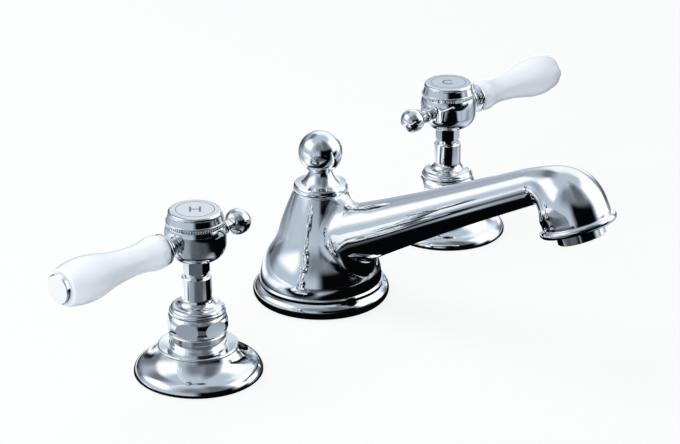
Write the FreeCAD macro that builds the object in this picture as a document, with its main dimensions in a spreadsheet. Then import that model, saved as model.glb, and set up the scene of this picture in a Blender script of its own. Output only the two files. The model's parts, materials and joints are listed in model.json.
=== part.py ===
import FreeCAD, Part
import math
import os
import Sketcher

# A three-hole basin mixer: a cast spout with a pop-up waste knob, and a hot and a cold side valve with
# porcelain levers. +X runs along the basin to the cold valve, the spout points to -Y, +Z is up, and the
# origin is where the spout's axis meets the deck. Every piece is drawn from its own foot upwards and set in
# its place by expressions, so a size that changes carries the pieces that stand on it.

Vector = FreeCAD.Vector

SIZES = {
    # Set-out on the basin deck
    "hole_spacing": 100.0,
    "spout_setback": 5.0,
    "deck_thickness": 18.0,
    "lever_swing": 9.0,
    "slip": 0.1,
    "running_gap": 0.05,
    # Valve flange, a bell of brass sheet over its gasket
    "flange_radius": 29.0,
    "flange_edge": 0.5,
    "flange_rim_height": 1.6,
    "flange_roll": 3.4,
    "flange_roll_height": 3.9,
    "flange_roll_bulge": 0.78,
    "flange_neck_radius": 18.2,
    "flange_lip": 1.1,
    "flange_lip_bulge": 0.28,
    "flange_height": 13.8,
    "flange_dish": 0.8,
    "flange_dish_ledge": 0.6,
    "flange_wall": 2.6,
    "flange_ledge_height": 3.6,
    "gasket_outer": 26.4,
    "gasket_inner": 21.5,
    "gasket_thickness": 1.5,
    "gasket_ledge": 2.0,
    # Valve body: a top tube, a threaded shank and a block with the inlet tail and the side outlet
    "tube_radius": 10.5,
    "tube_top": 19.2,
    "shank_radius": 13.0,
    "shank_shoulder": 5.5,
    "shank_length": 50.0,
    "block_radius": 15.0,
    "block_height": 24.0,
    "tail_radius": 10.48,
    "tail_length": 14.0,
    "outlet_radius": 8.33,
    "outlet_reach": 28.0,
    "outlet_boss_radius": 10.5,
    "outlet_boss_reach": 16.0,
    "outlet_bore": 5.5,
    "riser_bore": 4.5,
    "riser_radius": 6.0,
    "riser_top": 0.4,
    "body_wall": 3.0,
    "annulus_radius": 9.4,
    # Collar that holds the flange down
    "collar_radius": 12.9,
    "collar_height": 7.2,
    "collar_groove": 0.35,
    "collar_groove_foot": 2.0,
    "collar_groove_top": 4.9,
    # Cartridge, its ceramic discs and its spindle
    "seal_height": 1.6,
    "disc_radius": 6.9,
    "disc_thickness": 2.8,
    "disc_port_inner": 1.4,
    "disc_port_outer": 4.2,
    "cartridge_radius": 8.5,
    "cartridge_flange": 1.2,
    "cartridge_shoulder": 3.0,
    "cartridge_neck": 5.2,
    "window_width": 6.0,
    "window_top": 8.8,
    "spindle_radius": 3.4,
    "spindle_plate": 2.0,
    # Bonnet: a belt with six spanner flats, a ring, a bell and a neck
    "bonnet_height": 26.6,
    "belt_foot_radius": 12.3,
    "belt_radius": 14.1,
    "belt_height": 8.8,
    "belt_middle": 4.75,
    "belt_groove": 0.5,
    "bonnet_ring_radius": 12.75,
    "bonnet_ring_height": 2.0,
    "bell_radius": 10.3,
    "bell_height": 12.8,
    "bell_round": 0.3,
    "neck_radius": 6.65,
    "neck_start": 17.0,
    "neck_edge": 0.4,
    "flat_distance": 13.0,
    "flat_turn": 17.0,
    # Gland nut between the bonnet's neck and the handle
    "gland_ring_radius": 5.1,
    "gland_ring_height": 1.8,
    "gland_height": 8.2,
    "gland_corner_radius": 5.95,
    "gland_chamfer": 0.55,
    "gland_turn": 5.0,
    "gland_spigot_radius": 4.2,
    "gland_spigot_length": 2.8,
    "handle_gap": 0.3,
    # Handle hub, milled cap and index disc
    "hub_radius": 13.75,
    "hub_foot_radius": 7.6,
    "hub_height": 16.2,
    "hub_side_foot": 7.5,
    "hub_side_top": 12.4,
    "hub_mouth_radius": 13.0,
    "hub_mouth_bulge": 0.19,
    "hub_recess_radius": 10.4,
    "hub_recess_depth": 2.6,
    "lever_rise": 9.7,
    "socket_depth": 8.0,
    "hub_web": 2.5,
    "cap_band_radius": 12.8,
    "cap_milled_height": 1.5,
    "cap_lip_radius": 13.1,
    "cap_lip_height": 1.0,
    "cap_dome_radius": 12.0,
    "cap_dome_height": 5.2,
    "cap_dome_round": 1.1,
    "cap_dome_bulge": 0.35,
    "cap_height": 6.9,
    "cap_wall": 1.6,
    "index_radius": 10.2,
    "index_thickness": 1.0,
    "screw_head_radius": 3.2,
    "screw_head_height": 1.8,
    "screw_radius": 1.9,
    "screw_length": 9.0,
    # Lever: a stem with its ferrule, a porcelain grip and an end button
    "stem_radius": 3.0,
    "stem_depth": 8.6,
    "stem_bead_radius": 4.8,
    "stem_bead_start": 14.6,
    "stem_step": 0.5,
    "ferrule_start": 18.7,
    "ferrule_radius": 7.3,
    "ferrule_edge": 0.5,
    "grip_start": 20.6,
    "grip_foot_radius": 6.9,
    "grip_bead_radius": 7.75,
    "grip_bead_at": 24.0,
    "grip_bead_end": 27.5,
    "grip_bead_end_radius": 7.45,
    "grip_waist_at": 37.0,
    "grip_waist_radius": 6.45,
    "grip_swell_at": 56.0,
    "grip_swell_radius": 9.1,
    "grip_round": 1.2,
    "grip_round_bulge": 0.22,
    "grip_end": 76.2,
    "grip_shoulder_radius": 8.66,
    "grip_end_radius": 7.22,
    "rod_radius": 2.4,
    "button_radius": 6.75,
    "button_thickness": 2.4,
    "button_edge": 0.5,
    # Counter ball opposite the lever
    "ball_radius": 5.95,
    "ball_distance": 25.5,
    "ball_neck_radius": 2.3,
    "ball_bead_radius": 3.5,
    "ball_bead_at": 16.6,
    "ball_bead_half": 1.6,
    "ball_tenon_radius": 2.6,
    # Fixings under the deck, for the valves and the spout
    "rubber_washer_thickness": 3.0,
    "metal_washer_thickness": 2.0,
    "valve_washer_radius": 22.0,
    "valve_nut_flats": 36.0,
    "nut_height": 9.0,
    "nut_chamfer": 1.2,
    "spout_washer_radius": 26.0,
    "spout_nut_flats": 44.0,
    # Spout base ring and body
    "base_radius": 32.4,
    "base_rim_height": 7.0,
    "base_round": 1.6,
    "base_round_top": 6.4,
    "base_lip_radius": 29.8,
    "base_lip_edge": 0.5,
    "base_height": 9.0,
    "base_floor": 2.5,
    "spout_gasket_outer": 28.6,
    "spout_gasket_inner": 22.0,
    "body_foot_radius": 28.9,
    "body_belly_radius": 27.6,
    "body_belly_height": 8.0,
    "body_hip_radius": 23.9,
    "body_hip_height": 15.8,
    "body_waist_radius": 20.1,
    "body_waist_height": 24.0,
    "body_top_radius": 13.0,
    "body_height": 44.0,
    "body_socket_depth": 14.0,
    "body_hollow_inner": 20.0,
    "body_hollow_outer": 25.4,
    "body_hollow_top": 22.5,
    "body_hollow_height": 9.0,
    # Spout arm: a straight taper that rises, and a bend that swells into the nose
    "arm_start_reach": 10.0,
    "arm_start_height": 21.9,
    "arm_rise": 26.1,
    "arm_bend_reach": 115.1,
    "arm_root_radius": 15.5,
    "arm_middle_radius": 10.8,
    "arm_waist_radius": 8.45,
    "bend_radius": 17.3,
    "nose_tilt": 21.0,
    "nose_radius": 15.75,
    "nose_length": 4.9,
    "nose_bead_radius": 17.6,
    "nose_bead_height": 3.6,
    "junction_fillet": 9.0,
    "waterway_radius": 4.3,
    "waterway_bend": 9.0,
    "waterway_offset": 9.5,
    # Aerator in the nose
    "aerator_radius": 11.0,
    "aerator_thread": 11.5,
    "aerator_depth": 9.0,
    "aerator_drop": 4.7,
    "aerator_wall": 1.5,
    "aerator_lip": 0.9,
    "aerator_edge": 0.4,
    "aerator_hole_ring": 5.4,
    "aerator_hole_radius": 1.7,
    "seal_thickness": 1.6,
    # Guide collar, pop-up knob and rod
    "guide_radius": 12.9,
    "guide_round": 0.8,
    "guide_disc_height": 4.0,
    "guide_face_rise": 0.32,
    "guide_flare": 0.64,
    "guide_shoulder_radius": 9.2,
    "guide_neck_radius": 5.3,
    "guide_height": 10.2,
    "guide_spigot_radius": 7.0,
    "guide_spigot_length": 5.0,
    "guide_wall": 2.0,
    "guide_dish": 1.35,
    "knob_radius": 10.45,
    "knob_socket_top": 3.0,
    "rod_bore": 3.0,
    "lift_rod_radius": 2.45,
    "lift_rod_below": 95.0,
    "rod_thread_radius": 1.98,
    "rod_thread_length": 25.0,
    # Spout shank through the deck
    "spout_shank_radius": 16.6,
    "spout_shank_length": 62.0,
    "inlet_thread_radius": 5.0,
    "inlet_thread_length": 12.0,
}


# Shapes that stay when sizes change: the angle of the disc ports, the share of the bend over which the nose
# swells, and the stations round the bend that its sections stand at
PORT_HALF_ANGLE = 38.0
SWELL_START = 0.06
SWELL_SPAN = 0.69
BEND_STATIONS = (0.0, 0.125, 0.25, 0.375, 0.5, 0.625, 0.75, 0.875, 1.0)
WATERWAY_END = 0.9
STRAIGHT_BACK = 180.0
STRAIGHT_OUT = 360.0


class Length:
    """A size that carries both its number and the sheet formula that it comes from."""

    def __init__(self, value, formula):
        self.value = float(value)
        self.formula = formula

    def _join(self, other, sign, result, swap=False):
        other_formula = other.formula if isinstance(other, Length) else repr(float(other))
        first, second = (other_formula, self.formula) if swap else (self.formula, other_formula)
        return Length(result, f"({first} {sign} {second})")

    def __add__(self, other):
        return self._join(other, "+", self.value + number(other))

    def __sub__(self, other):
        return self._join(other, "-", self.value - number(other))

    def __mul__(self, other):
        return self._join(other, "*", self.value * number(other))

    def __truediv__(self, other):
        return self._join(other, "/", self.value / number(other))

    def __radd__(self, other):
        return self._join(other, "+", number(other) + self.value, swap=True)

    def __rsub__(self, other):
        return self._join(other, "-", number(other) - self.value, swap=True)

    def __rmul__(self, other):
        return self._join(other, "*", number(other) * self.value, swap=True)

    def __neg__(self):
        return Length(-self.value, f"(0 - {self.formula})")


def number(size):
    return size.value if isinstance(size, Length) else float(size)


def formula(size):
    return size.formula if isinstance(size, Length) else repr(float(size))


def sine(angle):
    return Length(math.sin(math.radians(angle.value)), f"sin({angle.formula} * 1deg)")


def cosine(angle):
    return Length(math.cos(math.radians(angle.value)), f"cos({angle.formula} * 1deg)")


def tangent(angle):
    return Length(math.tan(math.radians(angle.value)), f"tan({angle.formula} * 1deg)")


def chord_reach(radius, offset):
    """How far from a circle's centre its chord lies that is offset to the side."""
    value = math.sqrt(number(radius) ** 2 - number(offset) ** 2)
    return Length(value, f"sqrt({formula(radius)} ^ 2 - {formula(offset)} ^ 2)")


class Sizes:
    """The spreadsheet of driving sizes: sizes.some_name gives that cell as a Length."""

    def __init__(self, document, table):
        self.sheet = document.addObject("Spreadsheet::Sheet", "Sizes")
        self.table = table
        for row, (alias, value) in enumerate(table.items(), start=1):
            self.sheet.set(f"A{row}", alias)
            self.sheet.set(f"B{row}", repr(value))
            self.sheet.setAlias(f"B{row}", alias)

    def __getattr__(self, alias):
        return Length(self.table[alias], f"Sizes.{alias}")


doc = FreeCAD.newDocument("BasinMixer")
size = Sizes(doc, SIZES)
doc.recompute()

FULL_TURN = 360.0
OVERCUT = 1.0
XY, XZ, YZ = "XY_Plane", "XZ_Plane", "YZ_Plane"
ACROSS_AXIS, UP_AXIS = -1, -2


# Bodies and their places

def new_body(name, x=0.0, y=0.0, z=0.0, turn=None, tilt=None):
    """A body named for its piece, at x, y, z, turned about Z or else tilted about X by an angle."""
    body = doc.addObject("PartDesign::Body", name)
    body.Label = name
    angle = turn if turn is not None else tilt
    axis = Vector(1, 0, 0) if tilt is not None else Vector(0, 0, 1)
    degrees = number(angle) if angle is not None else 0.0
    body.Placement = FreeCAD.Placement(
        Vector(number(x), number(y), number(z)), FreeCAD.Rotation(axis, degrees))
    for cell, place in (("x", x), ("y", y), ("z", z)):
        if isinstance(place, Length):
            body.setExpression(f"Placement.Base.{cell}", place.formula)
    if isinstance(angle, Length):
        body.setExpression("Placement.Rotation.Angle", angle.formula)
    return body


def new_sketch(body, plane, name, x=0.0, y=0.0, z=0.0, axis=None, angle=None):
    """A sketch on one of the body's own planes, moved in that plane's own frame."""
    sketch = body.newObject("Sketcher::SketchObject", name)
    support = next(item for item in body.Origin.OriginFeatures if item.Role == plane)
    sketch.AttachmentSupport = (support, [""])
    sketch.MapMode = "FlatFace"
    turn = FreeCAD.Rotation(axis, number(angle)) if axis is not None else FreeCAD.Rotation()
    sketch.AttachmentOffset = FreeCAD.Placement(Vector(number(x), number(y), number(z)), turn)
    for cell, place in (("x", x), ("y", y), ("z", z)):
        if isinstance(place, Length):
            sketch.setExpression(f"AttachmentOffset.Base.{cell}", place.formula)
    if isinstance(angle, Length):
        sketch.setExpression("AttachmentOffset.Rotation.Angle", angle.formula)
    return sketch


# Outlines. A step is a corner (across, up), or an arc to a corner.

def line(across, up):
    return {"kind": "line", "to": (across, up)}


def arc(via_across, via_up, across, up):
    """An arc that passes through the via point on its way to the corner."""
    return {"kind": "arc", "via": (via_across, via_up), "to": (across, up)}


def bulge(start, end, out, up=0.0):
    """An arc from start to end whose middle stands out and up from the middle of its chord."""
    return arc((start[0] + end[0]) / 2 + out, (start[1] + end[1]) / 2 + up, *end)


def flow(across, up):
    """An arc that leaves tangent to the step before it."""
    return {"kind": "flow", "to": (across, up)}


def flat_point(place):
    return Vector(number(place[0]), number(place[1]), 0)


def circle_through(first, middle, last):
    """Centre and radius of the circle through three points of a plane."""
    a, b = middle - first, last - first
    cross = 2 * (a.x * b.y - a.y * b.x)
    a2, b2 = a.x * a.x + a.y * a.y, b.x * b.x + b.y * b.y
    offset = Vector((b.y * a2 - a.y * b2) / cross, (a.x * b2 - b.x * a2) / cross, 0)
    return first + offset, offset.Length


def circle_leaving(first, heading, last):
    """Centre and radius of the circle that leaves first along heading and passes last."""
    normal = Vector(-heading.y, heading.x, 0)
    chord = last - first
    reach = chord.dot(chord) / (2 * normal.dot(chord))
    return first + normal * reach, abs(reach)


def pin(rules, geometry, vertex, place):
    """Ties one vertex to its two sizes, and returns the expressions for the rules it added."""
    wanted = []
    for kind, axis, coordinate in (("DistanceX", UP_AXIS, place[0]), ("DistanceY", ACROSS_AXIS, place[1])):
        if not isinstance(coordinate, Length) and float(coordinate) == 0.0:
            rules.append(Sketcher.Constraint("PointOnObject", geometry, vertex, axis))
            continue
        rules.append(Sketcher.Constraint(kind, -1, 1, geometry, vertex, number(coordinate)))
        if isinstance(coordinate, Length):
            wanted.append((len(rules) - 1, coordinate.formula))
    return wanted


def draw_outline(sketch, steps, closed=True):
    """Draws lines and arcs from corner to corner and ties each corner to its sizes."""
    shapes, guides, rules, wanted, ends = [], [], [], [], []
    corners = [step["to"] for step in steps]
    moves = steps[1:] + ([line(*corners[0])] if closed else [])
    first, heading = flat_point(corners[0]), None
    for move in moves:
        last = flat_point(move["to"])
        if move["kind"] == "line":
            shapes.append(Part.LineSegment(first, last))
            ends.append((1, 2))
            heading = (last - first).normalize()
        else:
            if move["kind"] == "arc":
                centre, radius = circle_through(first, flat_point(move["via"]), last)
                spin = (flat_point(move["via"]) - first).cross(last - first).z
            else:
                centre, radius = circle_leaving(first, heading, last)
                spin = heading.cross(last - first).z
            start_angle = math.atan2(first.y - centre.y, first.x - centre.x)
            end_angle = math.atan2(last.y - centre.y, last.x - centre.x)
            from_angle, to_angle = (start_angle, end_angle) if spin > 0 else (end_angle, start_angle)
            if to_angle <= from_angle:
                to_angle += 2 * math.pi
            circle = Part.Circle(centre, Vector(0, 0, 1), radius)
            shapes.append(Part.ArcOfCircle(circle, from_angle, to_angle))
            ends.append((1, 2) if spin > 0 else (2, 1))
            spoke = last - centre
            side = 1 if spin > 0 else -1
            heading = Vector(-spoke.y * side, spoke.x * side, 0).normalize()
        first = last
    for index, move in enumerate(moves):
        if index > 0:
            kind = "Tangent" if move["kind"] == "flow" else "Coincident"
            rules.append(Sketcher.Constraint(kind, index - 1, ends[index - 1][1], index, ends[index][0]))
        wanted += pin(rules, index, ends[index][0], corners[index])
        if move["kind"] == "arc":
            guide = len(moves) + len(guides)
            guides.append(Part.Point(flat_point(move["via"])))
            wanted += pin(rules, guide, 1, move["via"])
            rules.append(Sketcher.Constraint("PointOnObject", guide, 1, index))
    if closed:
        rules.append(Sketcher.Constraint("Coincident", len(moves) - 1, ends[-1][1], 0, ends[0][0]))
    else:
        wanted += pin(rules, len(moves) - 1, ends[-1][1], corners[-1])
    sketch.addGeometry(shapes)
    if guides:
        sketch.addGeometry(guides, True)
    sketch.addConstraint(rules)
    for index, expression in wanted:
        sketch.setExpression(f"Constraints[{index}]", expression)
    return sketch


def draw_circle(sketch, radius, across=0.0, up=0.0):
    """A circle of a given radius about a point."""
    centre = flat_point((across, up))
    index = len(sketch.Geometry)
    count = len(sketch.Constraints)
    sketch.addGeometry([Part.Circle(centre, Vector(0, 0, 1), number(radius))])
    rules = [Sketcher.Constraint("Radius", index, number(radius))]
    wanted = pin(rules, index, 3, (across, up))
    sketch.addConstraint(rules)
    sketch.setExpression(f"Constraints[{count}]", formula(radius))
    for offset, expression in wanted:
        sketch.setExpression(f"Constraints[{count + offset}]", expression)
    return sketch


def draw_hexagon(sketch, corner_radius):
    """A hexagon about the origin with its corners at corner_radius, one of them on the across axis."""
    side = math.sqrt(3) / 2
    corners = [
        (corner_radius, 0.0),
        (corner_radius * 0.5, corner_radius * side),
        (corner_radius * -0.5, corner_radius * side),
        (-corner_radius, 0.0),
        (corner_radius * -0.5, corner_radius * -side),
        (corner_radius * 0.5, corner_radius * -side),
    ]
    return draw_outline(sketch, [line(*corner) for corner in corners])


# Features

def revolve(body, sketch, name="turning", axis="V_Axis"):
    feature = body.newObject("PartDesign::Revolution", name)
    feature.Profile = sketch
    feature.ReferenceAxis = (sketch, [axis])
    feature.Angle = FULL_TURN
    return feature


def groove(body, sketch, name="turned_cut", axis="V_Axis"):
    feature = body.newObject("PartDesign::Groove", name)
    feature.Profile = sketch
    feature.ReferenceAxis = (sketch, [axis])
    feature.Angle = FULL_TURN
    return feature


def pad(body, sketch, length, name="pad"):
    feature = body.newObject("PartDesign::Pad", name)
    feature.Profile = sketch
    feature.Length = number(length)
    if isinstance(length, Length):
        feature.setExpression("Length", length.formula)
    return feature


def pocket(body, sketch, length, name="pocket", reversed_way=False):
    feature = body.newObject("PartDesign::Pocket", name)
    feature.Profile = sketch
    feature.Length = number(length)
    feature.Reversed = reversed_way
    if isinstance(length, Length):
        feature.setExpression("Length", length.formula)
    return feature


def repeat(body, feature, count, name="pattern"):
    """Copies a feature in a ring about the body's own Z axis."""
    pattern = body.newObject("PartDesign::PolarPattern", name)
    pattern.Originals = [feature]
    z_axis = next(item for item in body.Origin.OriginFeatures if item.Role == "Z_Axis")
    pattern.Axis = (z_axis, [""])
    pattern.Angle = FULL_TURN
    pattern.Occurrences = count
    body.Tip = pattern
    return pattern


def turned(name, steps, axis="V_Axis", **place):
    """A turned piece: one closed outline, spun about the piece's own axis."""
    body = new_body(name, **place)
    sketch = draw_outline(new_sketch(body, XZ, "outline"), steps)
    revolve(body, sketch, axis=axis)
    return body


def ring(name, inner, outer, height, **place):
    """A plain washer-shaped piece."""
    return turned(name, [line(inner, 0.0), line(outer, 0.0), line(outer, height), line(inner, height)], **place)


# One side valve. Its own +X points outwards, away from the spout, before facing turns it.

def draw_sector(sketch, inner, outer, half_angle):
    """A port shaped like a slice of a ring, centred on the across axis."""
    side = math.radians(half_angle)
    sine_value, cosine_value = math.sin(side), math.cos(side)
    return draw_outline(sketch, [
        line(inner * cosine_value, -(inner * sine_value)),
        line(outer * cosine_value, -(outer * sine_value)),
        arc(outer, 0.0, outer * cosine_value, outer * sine_value),
        line(inner * cosine_value, inner * sine_value),
    ])


def ceramic_disc(name, place, turn):
    """A lapped disc with two opposite ports, which another disc opens and shuts."""
    body = turned(name, [
        line(0.0, 0.0),
        line(size.disc_radius, 0.0),
        line(size.disc_radius, size.disc_thickness),
        line(0.0, size.disc_thickness),
    ], turn=turn, **place)
    port = draw_sector(new_sketch(body, XY, "port_outline"),
                       size.disc_port_inner, size.disc_port_outer, PORT_HALF_ANGLE)
    repeat(body, pocket(body, port, size.disc_thickness, "port", reversed_way=True), 2)
    return body


def hexagon_nut(name, flats, height, bore, **place):
    """A hexagonal nut with both rims chamfered."""
    corner = flats / math.sqrt(3)
    body = new_body(name, **place)
    sketch = draw_hexagon(new_sketch(body, XY, "hexagon"), corner)
    draw_circle(sketch, bore)
    pad(body, sketch, height)
    chamfer_rims(body, corner, 0.0, height, size.nut_chamfer)
    return body


def chamfer_rims(body, corner, bottom, top, chamfer):
    """Turns a slope off the corners of a hexagon at its two ends."""
    outside = corner + chamfer
    for name, level, step in (("lower", bottom, chamfer), ("upper", top, -chamfer)):
        sketch = draw_outline(new_sketch(body, XZ, f"{name}_rim"), [
            line(corner - chamfer, level),
            line(outside, level),
            line(outside, level + step * 2),
        ])
        groove(body, sketch, f"{name}_chamfer")


def make_flange(name, place):
    bore = size.tube_radius + size.slip
    seat = size.gasket_outer + size.slip
    dish_floor = size.flange_height - size.flange_dish
    ceiling = dish_floor - size.flange_wall
    ledge = seat - size.gasket_ledge
    rim = (size.flange_radius, size.flange_rim_height)
    shoulder = (size.flange_radius - size.flange_roll, size.flange_rim_height + size.flange_roll_height)
    neck = (size.flange_neck_radius, size.flange_height - size.flange_lip)
    mouth = (size.flange_neck_radius - size.flange_lip, size.flange_height)
    turned(name, [
        line(seat, 0.0),
        line(size.flange_radius - size.flange_edge, 0.0),
        line(size.flange_radius, size.flange_edge),
        line(*rim),
        bulge(rim, shoulder, size.flange_roll_bulge),
        flow(*neck),
        bulge(neck, mouth, size.flange_lip_bulge, size.flange_lip_bulge),
        line(size.collar_radius + size.flange_dish_ledge, dish_floor),
        line(bore, dish_floor),
        line(bore, ceiling),
        line(size.flange_neck_radius - size.flange_wall, ceiling),
        line(ledge, size.flange_ledge_height),
        line(ledge, size.gasket_thickness),
        line(seat, size.gasket_thickness),
    ], **place)


def make_valve_body(name, place):
    """A top tube, the shank, and a block with the inlet tail below and the outlet on its boss at the side."""
    block_top = -size.shank_length
    block_bottom = block_top - size.block_height
    floor = block_bottom + size.body_wall
    chamber = size.cartridge_radius + size.slip
    annulus_top = size.riser_top + size.window_top + size.slip
    body = turned(name, [
        line(size.riser_bore, block_bottom - size.tail_length),
        line(size.tail_radius, block_bottom - size.tail_length),
        line(size.tail_radius, block_bottom),
        line(size.block_radius, block_bottom),
        line(size.block_radius, block_top),
        line(size.shank_radius, block_top),
        line(size.shank_radius, size.shank_shoulder),
        line(size.tube_radius, size.shank_shoulder),
        line(size.tube_radius, size.tube_top),
        line(chamber, size.tube_top),
        line(chamber, annulus_top),
        line(size.annulus_radius, annulus_top),
        line(size.annulus_radius, floor),
        line(size.riser_radius, floor),
        line(size.riser_radius, size.riser_top),
        line(size.riser_bore, size.riser_top),
    ], **place)
    height = block_top - size.block_height / 2
    root = (size.annulus_radius + size.block_radius) / 2
    annulus_middle = (size.riser_radius + size.annulus_radius) / 2
    boss = draw_circle(new_sketch(body, YZ, "boss_round", z=-size.outlet_boss_reach),
                       size.outlet_boss_radius, 0.0, height)
    pad(body, boss, size.outlet_boss_reach - root, "outlet_boss")
    stub = draw_circle(new_sketch(body, YZ, "outlet_round", z=-size.outlet_reach), size.outlet_radius, 0.0, height)
    pad(body, stub, size.outlet_reach - root, "outlet")
    hole = draw_circle(new_sketch(body, YZ, "outlet_hole", z=-size.outlet_reach), size.outlet_bore, 0.0, height)
    pocket(body, hole, size.outlet_reach - annulus_middle, "outlet_bore", reversed_way=True)


def make_cartridge(name, place, neck_top):
    """The housing of the discs, with a flange on the tube and two side windows for the water."""
    bore = size.spindle_radius + size.running_gap
    skirt = size.disc_radius + size.slip
    foot = size.riser_top + size.seal_height
    shoulder = foot + size.disc_thickness * 2 + size.running_gap * 2 + size.spindle_plate + size.running_gap
    flange_top = size.tube_top + size.cartridge_flange
    spigot_floor = neck_top - size.gland_spigot_length - size.slip
    body = turned(name, [
        line(skirt, foot),
        line(size.cartridge_radius, foot),
        line(size.cartridge_radius, size.tube_top),
        line(size.tube_radius, size.tube_top),
        line(size.tube_radius, flange_top),
        line(size.cartridge_radius, flange_top),
        line(size.cartridge_radius, flange_top + size.cartridge_shoulder),
        line(size.cartridge_neck, flange_top + size.cartridge_shoulder * 2),
        line(size.cartridge_neck, neck_top),
        line(size.gland_spigot_radius + size.slip, neck_top),
        line(size.gland_spigot_radius + size.slip, spigot_floor),
        line(bore, spigot_floor),
        line(bore, shoulder),
        line(skirt, shoulder),
    ], **place)
    half = size.window_width / 2
    window = draw_outline(new_sketch(body, XZ, "window_outline"), [
        line(-half, foot + size.disc_thickness),
        line(half, foot + size.disc_thickness),
        line(half, size.riser_top + size.window_top),
        line(-half, size.riser_top + size.window_top),
    ])
    repeat(body, pocket(body, window, size.cartridge_radius * 2, "window"), 2)


def make_bonnet(name, place):
    """One turned piece: a belt with six spanner flats, a half-round ring, a bell and a neck."""
    chamber = size.tube_radius + size.slip
    bore = size.cartridge_neck + size.slip
    belt_end = size.bonnet_ring_radius - size.belt_groove / 2
    groove_radius = size.bonnet_ring_radius - size.belt_groove
    groove_height = size.belt_height + size.belt_groove / 2
    ring_foot = (groove_radius, groove_height)
    ring_top = (groove_radius, groove_height + size.bonnet_ring_height)
    bell_top = (size.bell_radius, size.bell_height)
    body = turned(name, [
        line(chamber, 0.0),
        line(size.belt_foot_radius, 0.0),
        arc(size.belt_radius, size.belt_middle, belt_end, size.belt_height),
        line(*ring_foot),
        bulge(ring_foot, ring_top, size.belt_groove),
        bulge(ring_top, bell_top, size.bell_round, size.bell_round),
        flow(size.neck_radius, size.neck_start),
        line(size.neck_radius, size.bonnet_height - size.neck_edge),
        line(size.neck_radius - size.neck_edge, size.bonnet_height),
        line(bore, size.bonnet_height),
        line(bore, size.bell_height + size.neck_edge),
        line(chamber, size.belt_height),
    ], **place)
    half = size.belt_radius
    flat = draw_outline(new_sketch(body, XY, "flat_outline"), [
        line(size.flat_distance, -half),
        line(size.flat_distance + half, -half),
        line(size.flat_distance + half, half),
        line(size.flat_distance, half),
    ])
    repeat(body, pocket(body, flat, size.belt_height, "spanner_flat", reversed_way=True), 6)


def make_gland_nut(name, place):
    bore = size.spindle_radius + size.running_gap
    body = turned(name, [
        line(bore, -size.gland_spigot_length),
        line(size.gland_spigot_radius, -size.gland_spigot_length),
        line(size.gland_spigot_radius, 0.0),
        line(size.gland_ring_radius, 0.0),
        line(size.gland_ring_radius, size.gland_ring_height),
        line(bore, size.gland_ring_height),
    ], **place)
    hexagon = new_sketch(body, XY, "hexagon", z=size.gland_ring_height)
    draw_hexagon(hexagon, size.gland_corner_radius)
    draw_circle(hexagon, bore)
    pad(body, hexagon, size.gland_height - size.gland_ring_height, "hexagon_pad")
    chamfer_rims(body, size.gland_corner_radius, size.gland_ring_height, size.gland_height, size.gland_chamfer)


def make_hub(name, place):
    """The handle's cup, with a socket for the spindle and a bore on each side for lever and ball."""
    socket = size.spindle_radius + size.slip
    recess_floor = size.hub_height - size.hub_recess_depth
    web_top = size.socket_depth + size.hub_web
    mouth = (size.hub_mouth_radius, size.hub_height)
    body = turned(name, [
        line(*mouth),
        bulge(mouth, (size.hub_radius, size.hub_side_top), size.hub_mouth_bulge),
        line(size.hub_radius, size.hub_side_foot),
        flow(size.hub_foot_radius, 0.0),
        line(socket, 0.0),
        line(socket, size.socket_depth),
        line(size.screw_radius + size.slip, size.socket_depth),
        line(size.screw_radius + size.slip, web_top),
        line(size.screw_head_radius + size.slip, web_top),
        line(size.screw_head_radius + size.slip, recess_floor),
        line(size.hub_recess_radius, recess_floor),
        line(size.hub_recess_radius, size.hub_height),
    ], **place)
    reach = size.hub_radius - size.stem_depth
    lever_hole = draw_circle(new_sketch(body, YZ, "lever_hole", z=size.stem_depth - size.slip),
                             size.stem_radius + size.slip, 0.0, size.lever_rise)
    pocket(body, lever_hole, reach * 2, "lever_bore", reversed_way=True)
    ball_hole = draw_circle(new_sketch(body, YZ, "ball_hole", z=size.slip - size.stem_depth),
                            size.ball_tenon_radius + size.slip, 0.0, size.lever_rise)
    pocket(body, ball_hole, reach * 2, "ball_bore")


def make_cap(name, place):
    """The milled cap: a spigot in the hub, a milled band, a half-round lip and a dome with a recess."""
    spigot = size.hub_recess_radius - size.slip
    inside = spigot - size.cap_wall
    recess = size.index_radius + size.slip
    floor = size.cap_height - size.index_thickness
    lip_top = size.cap_milled_height + size.cap_lip_height
    dome_side = (size.cap_dome_radius, size.cap_dome_height)
    dome_top = (size.cap_dome_radius - size.cap_dome_round, size.cap_height)
    turned(name, [
        line(inside, -size.hub_recess_depth),
        line(spigot, -size.hub_recess_depth),
        line(spigot, 0.0),
        line(size.cap_band_radius, 0.0),
        line(size.cap_band_radius, size.cap_milled_height),
        arc(size.cap_lip_radius, size.cap_milled_height + size.cap_lip_height / 2,
            size.cap_band_radius, lip_top),
        line(*dome_side),
        bulge(dome_side, dome_top, size.cap_dome_bulge, size.cap_dome_bulge),
        line(recess, size.cap_height),
        line(recess, floor),
        line(0.0, floor),
        line(0.0, floor - size.cap_wall),
        line(inside, floor - size.cap_wall),
    ], **place)


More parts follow.
